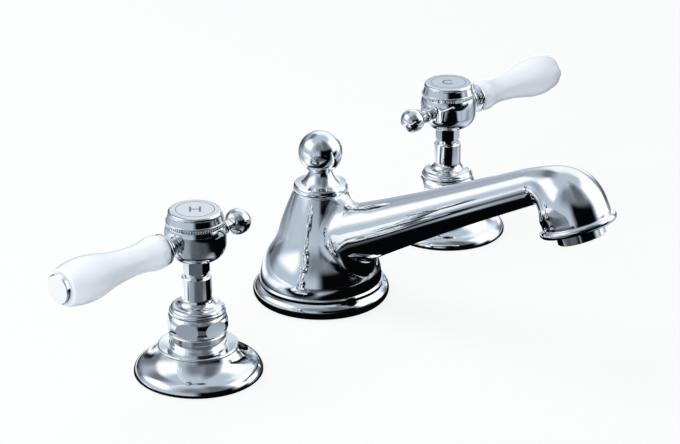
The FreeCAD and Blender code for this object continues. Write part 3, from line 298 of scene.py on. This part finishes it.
def painted_reflection_card(name, points, faces, level):
    """A painted reflection card that only mirrors see, glowing with its brightness kept as a colour on its
    points.
    """
    card = mesh_object(name, points, faces)
    paint = card.data.color_attributes.new("level", "FLOAT_COLOR", "POINT")
    colors = np.ones((len(points), 4))
    whiteness = np.clip((level - WHITE_FROM) / WHITE_SPAN, 0.0, 1.0)[:, None]
    colors[:, :3] = level[:, None] * (PAINTED_REFLECTION_GREY_TINT * (1 - whiteness) + whiteness)
    paint.data.foreach_set("color", colors.ravel())
    material, tree = new_material(name)
    attribute = add(tree, "ShaderNodeAttribute", attribute_name="level")
    glow = add(tree, "ShaderNodeEmission", Strength=1.0)
    tree.links.new(attribute.outputs["Color"], glow.inputs["Color"])
    tree.links.new(glow.outputs[0], tree.nodes["Material Output"].inputs[0])
    card.data.materials.append(material)
    # Seen by mirror rays only: painted reflection that lights nothing and casts no shadow
    card.visible_camera = False
    card.visible_diffuse = False
    card.visible_shadow = False
    card.visible_transmission = False
    print(name, len(faces), "faces")


# %% [markdown]
# ### The painted reflection dome and the painted table reflection
# The painted reflection is a dome, so a direction is enough to tell its brightness. The table is near, and
# each part of the set sees another spot of it in the same direction. So the card's brightness at a spot is a
# mean of what the five stands of the set would see there, and the nearest stand counts most. Round each stand
# the card is painted dark, as a painted dark reflection under each part.

# %% Painted reflection dome and painted table reflection
DOME_LEVELS = np.linspace(-3.0, 89.9, 94)
TABLE_RINGS = np.concatenate([np.linspace(0.002, 0.4, 120), np.linspace(0.41, 1.45, 30)])
NEAREST = 0.01


def make_painted_reflection_dome():
    """A painted reflection dome of points: radius times the direction of each bearing and height angle."""
    height, bearing = np.meshgrid(DOME_LEVELS, np.arange(0.0, 360.0, TURN_STEP), indexing="ij")
    level = brightness(bearing, height, REFLECTION_DOME_BASE, DOME_REFLECTION_PATCHES)
    up, turn = np.radians(height), np.radians(bearing)
    points = np.stack([np.cos(up) * np.cos(turn), np.cos(up) * np.sin(turn), np.sin(up)], axis=-1)
    points = points.reshape(-1, 3) * REFLECTION_DOME_RADIUS
    painted_reflection_card("painted_reflection_dome", points, grid_faces(*height.shape), level.ravel())


def make_painted_table_reflection():
    """A painted reflection disc just above the floor, dark round each stand. Its level at a point mixes what
    each stand of the set would see there.
    """
    turn = np.radians(np.arange(0.0, 360.0, TURN_STEP))
    ring = TABLE_RINGS[:, None]
    spots = np.stack([ring * np.cos(turn), ring * np.sin(turn)], axis=-1).reshape(-1, 2)
    total, weight, open_share = 0.0, 0.0, 1.0
    for stand in STANDS:
        away = spots - stand[:2]
        distance = np.hypot(away[:, 0], away[:, 1])
        seen = brightness(np.degrees(np.arctan2(away[:, 1], away[:, 0])) % 360.0,
                          -np.degrees(np.arctan2(TABLE_EYE, distance)), TABLE_REFLECTION_BASE, TABLE_REFLECTION_PATCHES)
        share = 1.0 / (distance + NEAREST) ** 3
        total, weight = total + share * seen, weight + share
        # Painted dark reflection round each stand, faded out over the card edge
        open_share = open_share * smooth_step((distance - stand[2]) / DARK_REFLECTION_EDGE)
    level = DARK_REFLECTION_LEVEL + (total / weight - DARK_REFLECTION_LEVEL) * open_share
    points = np.column_stack([spots, np.full(len(spots), FLOOR_LEVEL / 2)])
    painted_reflection_card("painted_table_reflection", points, grid_faces(len(TABLE_RINGS), len(turn)), level)


make_painted_reflection_dome()
make_painted_table_reflection()

# %% [markdown]
# ## Lamps
# Two soft boxes model the porcelain: a large one above and behind, and a weaker one from the left. They don't
# show in the metal, because the painted reflection dome already paints what the metal shows. The view
# transform stays plain, so that white is white.

# %% Lamps


def softbox(name, azimuth, elevation, distance, width, height, power):
    """A rectangular lamp that faces the middle of the set."""
    azimuth, elevation = math.radians(azimuth), math.radians(elevation)
    away = Vector((math.cos(azimuth) * math.cos(elevation), math.sin(azimuth) * math.cos(elevation),
                   math.sin(elevation)))
    data = bpy.data.lights.new(name, "AREA")
    data.shape = "RECTANGLE"
    data.size, data.size_y = width, height
    data.energy = power
    lamp = bpy.data.objects.new(name, data)
    lamp.location = AIM + away * distance
    lamp.rotation_euler = away.to_track_quat("Z", "Y").to_euler()
    lamp.visible_glossy = False
    bpy.context.scene.collection.objects.link(lamp)
    print(name, power, "W")


softbox("top_box", azimuth=120.0, elevation=62.0, distance=1.2, width=0.9, height=0.9, power=9.0)
softbox("left_box", azimuth=190.0, elevation=25.0, distance=1.3, width=0.6, height=0.9, power=5.0)
bpy.context.scene.view_settings.view_transform = "Standard"

# %% [markdown]
# ## Finishes
# The record names seven finishes, and each gets one material. All patterns are worked out from the solid's
# own coordinates in millimetres, so nothing has to be unwrapped and no picture is needed.

# %% Pattern helpers


def millimetres(tree):
    """The object's own coordinates, counted in millimetres."""
    place = add(tree, "ShaderNodeTexCoord")
    mapping = add(tree, "ShaderNodeMapping", vector_type="POINT", Scale=(1 / MM, 1 / MM, 1 / MM))
    tree.links.new(place.outputs["Object"], mapping.inputs["Vector"])
    return mapping.outputs["Vector"]


def noise(tree, grain, detail=3.0):
    """Cloudy noise whose grains are about as many millimetres across as told."""
    texture = add(tree, "ShaderNodeTexNoise", Scale=1.0 / grain, Detail=detail)
    tree.links.new(millimetres(tree), texture.inputs["Vector"])
    return texture.outputs["Fac"]


def spread(tree, value, low, high):
    """Maps a 0 to 1 value to a range."""
    between = add(tree, "ShaderNodeMapRange", To_Min=low, To_Max=high)
    tree.links.new(value, between.inputs["Value"])
    return between.outputs["Result"]


def relief(tree, value, height):
    """A bump of that many millimetres at most."""
    bump = add(tree, "ShaderNodeBump", Strength=1.0, Distance=height * MM)
    tree.links.new(value, bump.inputs["Height"])
    return bump.outputs["Normal"]


def principled(name, color, roughness, metallic=0.0, **more):
    """A material with one Principled shader, and its tree and shader for further work."""
    material, tree = new_material(name)
    shader = add(tree, "ShaderNodeBsdfPrincipled", Metallic=metallic, Roughness=roughness)
    shader.inputs["Base Color"].default_value = (*color, 1)
    for socket, value in more.items():
        shader.inputs[socket.replace("_", " ")].default_value = value
    tree.links.new(shader.outputs[0], tree.nodes["Material Output"].inputs[0])
    return material, tree, shader


# %% [markdown]
# ### Chrome
# Bright chrome is a hard plate on polished brass. It is a nearly perfect mirror with a cool cast. The buffing
# wheel leaves the faintest waviness, and that keeps long reflections from looking drawn with a ruler.

# %% Chrome


def polished_chrome():
    """A mirror with a faint change of polish and a waviness of two thousandths of a millimetre."""
    material, tree, shader = principled("polished_chrome", (0.90, 0.92, 0.94), 0.04, 1.0)
    tree.links.new(spread(tree, noise(tree, 9.0), 0.030, 0.055), shader.inputs["Roughness"])
    tree.links.new(relief(tree, noise(tree, 16.0, detail=0.0), 0.002), shader.inputs["Normal"])
    return material


# %% [markdown]
# ### Porcelain
# The grips are fired white porcelain. Light enters the clay a little, and a clear glaze on top gives sharp
# reflections. So the base is soft with a slight glow from below the surface, and the shine comes from a coat.

# %% Porcelain


def glazed_porcelain():
    """White clay that light enters a little, under a clear wavy glaze."""
    material, tree, shader = principled(
        "glazed_porcelain", (0.90, 0.93, 0.97), 0.30, Subsurface_Weight=0.12, Subsurface_Scale=0.0015,
        Coat_Weight=1.0, Coat_Roughness=0.03)
    shader.inputs["Subsurface Radius"].default_value = (1.0, 0.9, 0.8)
    tree.links.new(relief(tree, noise(tree, 11.0, detail=1.0), 0.012), shader.inputs["Coat Normal"])
    return material


# %% [markdown]
# ### Brass, steel and the rest
# Under the deck nothing is plated. The brass keeps the fine rings of the lathe, which stand across its axis,
# and a few darker clouds from handling. The washers are plain steel, the seals rubber, and the discs lapped
# ceramic.

# %% Brass and the plain finishes


def turned_brass():
    """Lathe rings along the Z axis as a fine relief, with darker clouds in the colour."""
    material, tree, shader = principled("turned_brass", (0.70, 0.52, 0.24), 0.28, 1.0)
    rings = add(tree, "ShaderNodeTexWave", wave_type="BANDS", bands_direction="Z", Scale=2.2, Distortion=0.6)
    tree.links.new(millimetres(tree), rings.inputs["Vector"])
    tree.links.new(relief(tree, rings.outputs["Fac"], 0.006), shader.inputs["Normal"])
    clouds = add(tree, "ShaderNodeValToRGB")
    clouds.color_ramp.elements[0].color = (0.55, 0.38, 0.15, 1)
    clouds.color_ramp.elements[1].color = (0.76, 0.58, 0.28, 1)
    tree.links.new(noise(tree, 12.0), clouds.inputs["Fac"])
    tree.links.new(clouds.outputs["Color"], shader.inputs["Base Color"])
    tree.links.new(spread(tree, noise(tree, 5.0), 0.22, 0.36), shader.inputs["Roughness"])
    return material


def grained(name, color, low, high, grain, height, metallic=0.0):
    """A plain finish whose roughness and surface vary with fine noise."""
    material, tree, shader = principled(name, color, low, metallic)
    tree.links.new(spread(tree, noise(tree, grain * 4), low, high), shader.inputs["Roughness"])
    tree.links.new(relief(tree, noise(tree, grain), height), shader.inputs["Normal"])
    return material


# %% [markdown]
# ### One finish for each slot
# The record gives every solid a slot, which is the name of its finish. A loop over the record's pieces hands
# out the materials, so no piece can be missed, and a change of finish is a change in one place.

# %% Hand out the finishes
finishes = {
    "chrome": polished_chrome(),
    "porcelain": glazed_porcelain(),
    "brass": turned_brass(),
    "steel": grained("plain_steel", (0.50, 0.50, 0.50), 0.26, 0.42, 0.8, 0.006, metallic=1.0),
    "ceramic": grained("lapped_ceramic", (0.86, 0.84, 0.78), 0.24, 0.34, 0.5, 0.003),
    "rubber": grained("black_rubber", (0.028, 0.028, 0.028), 0.50, 0.70, 0.4, 0.020),
    "plastic": grained("white_acetal", (0.80, 0.80, 0.78), 0.32, 0.42, 0.6, 0.006),
}
for part in frame["record"]["subparts"]:
    node = nodes[part["node"]]
    node.data.materials.clear()
    node.data.materials.append(finishes[part["material_slot"]])
print("finishes:", ", ".join(finishes))

# %% [markdown]
# ## Where the fine work goes
# These are the axes and levels of the solids that the next pieces sit on, in millimetres. All pieces are made
# in place, as surfaces of two parameters, and then ride with the body that they belong to.

# %% Places
VALVES = {"hot": (-100.0, -5.0), "cold": (100.0, -5.0)}
CAP_FOOT = 71.5
INDEX_TOP = 78.4


def swept(name, finish, body, points, faces, smooth=True):
    """A finished piece from points in millimetres, with its finish and its body."""
    piece = mesh_object(name, np.asarray(points) * MM, faces, smooth)
    piece.data.materials.append(finishes[finish])
    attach(piece, body)
    return piece


# %% [markdown]
# ### The milled band
# Each cap has a narrow band of fine upright teeth, rolled in with a milling wheel, so that wet fingers can
# turn it. The tooth count is set so that a tooth is just over a millimetre wide, as in the photograph. A
# real wheel leaves teeth with flat-topped crests that run out at both rims, and so do these.

# %% Milled bands
TEETH, TOOTH_POINTS = 72, 10
BAND_FOOT, BAND_TOP = 0.08, 1.48
BAND_ROOT, BAND_CREST = 12.72, 13.12
RIM_SUNK, RIM_SHARE = 0.06, 0.22
TOOTH_SHARPNESS = 0.9
BAND_LEVELS = np.array([0.0, 0.10, 0.22, 0.40, 0.60, 0.78, 0.90, 1.0])


def milled_band(side, x, y):
    """Radius from root to crest by a clipped cosine of the angle, faded to the root at both rims."""
    columns = TEETH * TOOTH_POINTS
    turn = np.linspace(0.0, 2 * np.pi, columns, endpoint=False)
    tooth = np.clip(0.5 + TOOTH_SHARPNESS * np.cos(turn * TEETH), 0.0, 1.0)
    rise = np.clip(np.minimum(BAND_LEVELS, 1 - BAND_LEVELS) / RIM_SHARE, 0.0, 1.0)[:, None]
    radius = BAND_ROOT - RIM_SUNK + RIM_SUNK * rise + (BAND_CREST - BAND_ROOT) * rise * tooth
    level = (CAP_FOOT + BAND_FOOT + (BAND_TOP - BAND_FOOT) * BAND_LEVELS)[:, None]
    points = np.stack([x + radius * np.cos(turn), y + radius * np.sin(turn),
                       np.broadcast_to(level, radius.shape)], axis=-1).reshape(-1, 3)
    return swept(f"{side}_milled_teeth", "chrome", f"{side}_handle", points,
                 grid_faces(len(BAND_LEVELS), columns))


for side, (x, y) in VALVES.items():
    band = milled_band(side, x, y)
    tooth_width = round(2 * math.pi * BAND_CREST / TEETH, 2)
    print(band.name, len(band.data.polygons), "faces, tooth", tooth_width, "mm wide")

# %% [markdown]
# ### The index disc
# The flat disc in each cap tells hot from cold. The real ones are engraved and filled. Here each disc carries
# a ring and a single plain letter in grey filling. A letter is a set of strokes, and a stroke is a bar between
# two points, or an arc of a given radius. The discs are turned as in the photograph.

# %% Index rings and letters
FILL_HEIGHT = 0.03
RING_RADIUS, RING_WIDTH = 8.6, 0.32
STROKE, CROSS_STROKE = 0.95, 0.76
H_HALF_WIDTH, H_HALF_HEIGHT = 2.2, 3.0
C_RADIUS, C_OPENING = 2.7, 48.0
INDEX_TURN = math.radians(-52.0)


def flat_arc(radius, width, start, end, steps):
    """A band between two radii about the disc's middle, as its inner and outer points in turn."""
    turn = np.radians(np.linspace(start, end, steps))
    rays = np.stack([np.cos(turn), np.sin(turn)], axis=-1)
    return np.stack([rays * (radius - width / 2), rays * (radius + width / 2)], axis=1)


def flat_bar(first, last, width):
    """A straight band from one point to another, as its left and right points in turn."""
    first, last = np.array(first, float), np.array(last, float)
    side = np.array([-(last - first)[1], (last - first)[0]])
    side = side / np.linalg.norm(side) * width / 2
    return np.array([[first - side, first + side], [last - side, last + side]])


letters = {
    "hot": [flat_bar((-H_HALF_WIDTH, -H_HALF_HEIGHT), (-H_HALF_WIDTH, H_HALF_HEIGHT), STROKE),
            flat_bar((H_HALF_WIDTH, -H_HALF_HEIGHT), (H_HALF_WIDTH, H_HALF_HEIGHT), STROKE),
            flat_bar((-H_HALF_WIDTH, 0.0), (H_HALF_WIDTH, 0.0), CROSS_STROKE)],
    "cold": [flat_arc(C_RADIUS, STROKE, C_OPENING, 360.0 - C_OPENING, 60)],
}


def index_inlay(side, x, y):
    """The ring and the letter as thin bands just above the disc, with faces that look up."""
    strokes = [flat_arc(RING_RADIUS, RING_WIDTH, 0.0, 360.0, 145)] + letters[side]
    points, faces = [], []
    cosine, sine = math.cos(INDEX_TURN), math.sin(INDEX_TURN)
    for stroke in strokes:
        start = len(points)
        points += [(x + px * cosine - py * sine, y + px * sine + py * cosine, INDEX_TOP + FILL_HEIGHT)
                   for px, py in stroke.reshape(-1, 2)]
        for step in range(len(stroke) - 1):
            a = start + 2 * step
            faces.append((a, a + 1, a + 3, a + 2))
    points, faces = np.array(points), np.array(faces)
    corner = points[faces]
    upward = np.cross(corner[:, 1] - corner[:, 0], corner[:, 2] - corner[:, 0])[:, 2] > 0
    faces = np.where(upward[:, None], faces, faces[:, ::-1])
    return swept(f"{side}_index_inlay", "chrome", f"{side}_handle", points, faces, smooth=False)


filling = principled("grey_filling", (0.10, 0.115, 0.13), 0.30, Coat_Weight=0.6, Coat_Roughness=0.1)[0]
for side, (x, y) in VALVES.items():
    inlay = index_inlay(side, x, y)
    inlay.data.materials[0] = filling
    print(inlay.name, len(inlay.data.polygons), "faces")

# %% [markdown]
# ### Threads
# The shanks, tails, outlets and the end of the lift rod are threaded. The solids hold them as plain cylinders
# at the thread's outer size, so each thread is a sleeve whose ridge winds round that cylinder and stands a
# quarter of a millimetre proud of it. A real thread is cut by a die and fades out over its last turn. The
# pitches are the standard ones for each size.

# %% Threads
RIDGE, ROOT_SUNK = 0.25, 0.04
TURN_ROWS = 8
RIDGE_COLUMNS = 96
# Slope of the wave's flanks, and how much of it is cut off as the flat root
FLANK, FLAT_ROOT = 1.6, 0.3


def thread(name, finish, body, radius, pitch, length, origin, axis):
    """Radius by a triangle wave that moves one pitch along the axis in each turn, faded at both ends."""
    rows = int(length / pitch * TURN_ROWS) + 1
    along = np.linspace(0.0, length, rows)[:, None]
    turn = np.linspace(0.0, 2 * np.pi, RIDGE_COLUMNS, endpoint=False)[None, :]
    phase = (along / pitch - turn / (2 * np.pi)) % 1.0
    wave = np.clip(FLANK * (1.0 - np.abs(2 * phase - 1.0)) - FLAT_ROOT, 0.0, 1.0)
    fade = np.clip(np.minimum(along, length - along) / pitch, 0.0, 1.0)
    reach = radius - ROOT_SUNK + (RIDGE + ROOT_SUNK) * wave * fade
    out = np.array(axis, float)
    first = np.cross(out, (0.0, 1.0, 0.0) if abs(out[1]) < 0.9 else (1.0, 0.0, 0.0))
    first /= np.linalg.norm(first)
    second = np.cross(out, first)
    points = (np.array(origin, float) + along[..., None] * out
              + reach[..., None] * (np.cos(turn)[..., None] * first + np.sin(turn)[..., None] * second))
    swept(name, finish, body, points.reshape(-1, 3), grid_faces(rows, RIDGE_COLUMNS))
    print(name, round(length / pitch, 1), "turns")


# %% [markdown]
# ### Where the threads are
# Each valve has three: the shank that the back nut runs on, the tail for the supply and the outlet toward the
# spout. The spout's shank has one, and so has the end of the lift rod, which rides with the knob.

# %% Cut the threads
UP = (0.0, 0.0, 1.0)
for side, (x, y) in VALVES.items():
    inward = -1.0 if x > 0 else 1.0
    thread(f"{side}_shank_thread", "brass", "base", radius=13.0, pitch=1.5, length=49.0,
           origin=(x, y, -49.6), axis=UP)
    thread(f"{side}_tail_thread", "brass", "base", radius=10.48, pitch=1.814, length=13.0,
           origin=(x, y, -87.6), axis=UP)
    thread(f"{side}_outlet_thread", "brass", "base", radius=8.33, pitch=1.337, length=11.0,
           origin=(x + inward * 16.6, y, -62.0), axis=(inward, 0.0, 0.0))
thread("spout_shank_thread", "brass", "base", radius=16.6, pitch=1.5, length=60.5,
       origin=(0.0, 0.0, -61.5), axis=UP)
thread("lift_rod_thread", "chrome", "lift", radius=1.98, pitch=0.7, length=24.0,
       origin=(0.0, 0.0, -94.6), axis=UP)

# %% [markdown]
# ### The strainer
# The aerator's mouth is closed by a woven wire strainer that breaks the stream into soft bubbles. The wires
# run both ways and pass over and under each other. Each is a thin square rod that follows a small wave.

# %% Strainer
NOSE_REACH, NOSE_LEVEL, NOSE_TILT = 140.62, 68.48, math.radians(21.0)
STRAINER_DEPTH, STRAINER_RADIUS = 4.10, 9.45
# Half thickness of a wire, space between wires, how far a wire waves, and how many points mark a millimetre
WIRE, WIRE_STEP, WIRE_WAVE = 0.16, 1.0, 0.096
WIRE_POINTS = 6
OUTERMOST = 9


def wire(start, stations, wave, offset, crosswise):
    """A square rod along the stations, with its height from the wave, as points and closed faces."""
    ring = np.array([(-1, -1), (1, -1), (1, 1), (-1, 1)]) * WIRE
    points = []
    for station, lift in zip(stations, wave):
        for side_step, up_step in ring:
            place = (offset + side_step, station) if crosswise else (station, offset + side_step)
            points.append((*place, lift + up_step))
    last = start + 4 * (len(stations) - 1)
    faces = [(start + 3, start + 2, start + 1, start), (last, last + 1, last + 2, last + 3)]
    for first in range(start, last, 4):
        for corner in range(4):
            a, b = first + corner, first + (corner + 1) % 4
            faces.append((a, b, b + 4, a + 4))
    return points, [face[::-1] for face in faces] if crosswise else faces


def strainer():
    """Wires at even steps across the mouth. Their height waves by one wire over two steps."""
    points, faces = [], []
    for way in (0, 1):
        for index, offset in enumerate(np.arange(-OUTERMOST, OUTERMOST + 1) * WIRE_STEP):
            half = math.sqrt(STRAINER_RADIUS ** 2 - offset ** 2)
            stations = np.linspace(-half, half, max(4, int(half * WIRE_POINTS)))
            wave = WIRE_WAVE * np.cos(np.pi * (stations / WIRE_STEP + index + way))
            more_points, more_faces = wire(len(points), stations, wave, offset, crosswise=way == 1)
            points += more_points
            faces += more_faces
    points = np.array(points)
    cosine, sine = math.cos(NOSE_TILT), math.sin(NOSE_TILT)
    depth = points[:, 2] - STRAINER_DEPTH
    placed = np.stack([points[:, 0],
                       -NOSE_REACH + points[:, 1] * cosine + depth * sine,
                       NOSE_LEVEL - points[:, 1] * sine + depth * cosine], axis=-1)
    return swept("aerator_strainer", "steel", "base", placed, np.array(faces), smooth=False)


screen = strainer()
print(screen.name, len(screen.data.polygons), "faces")
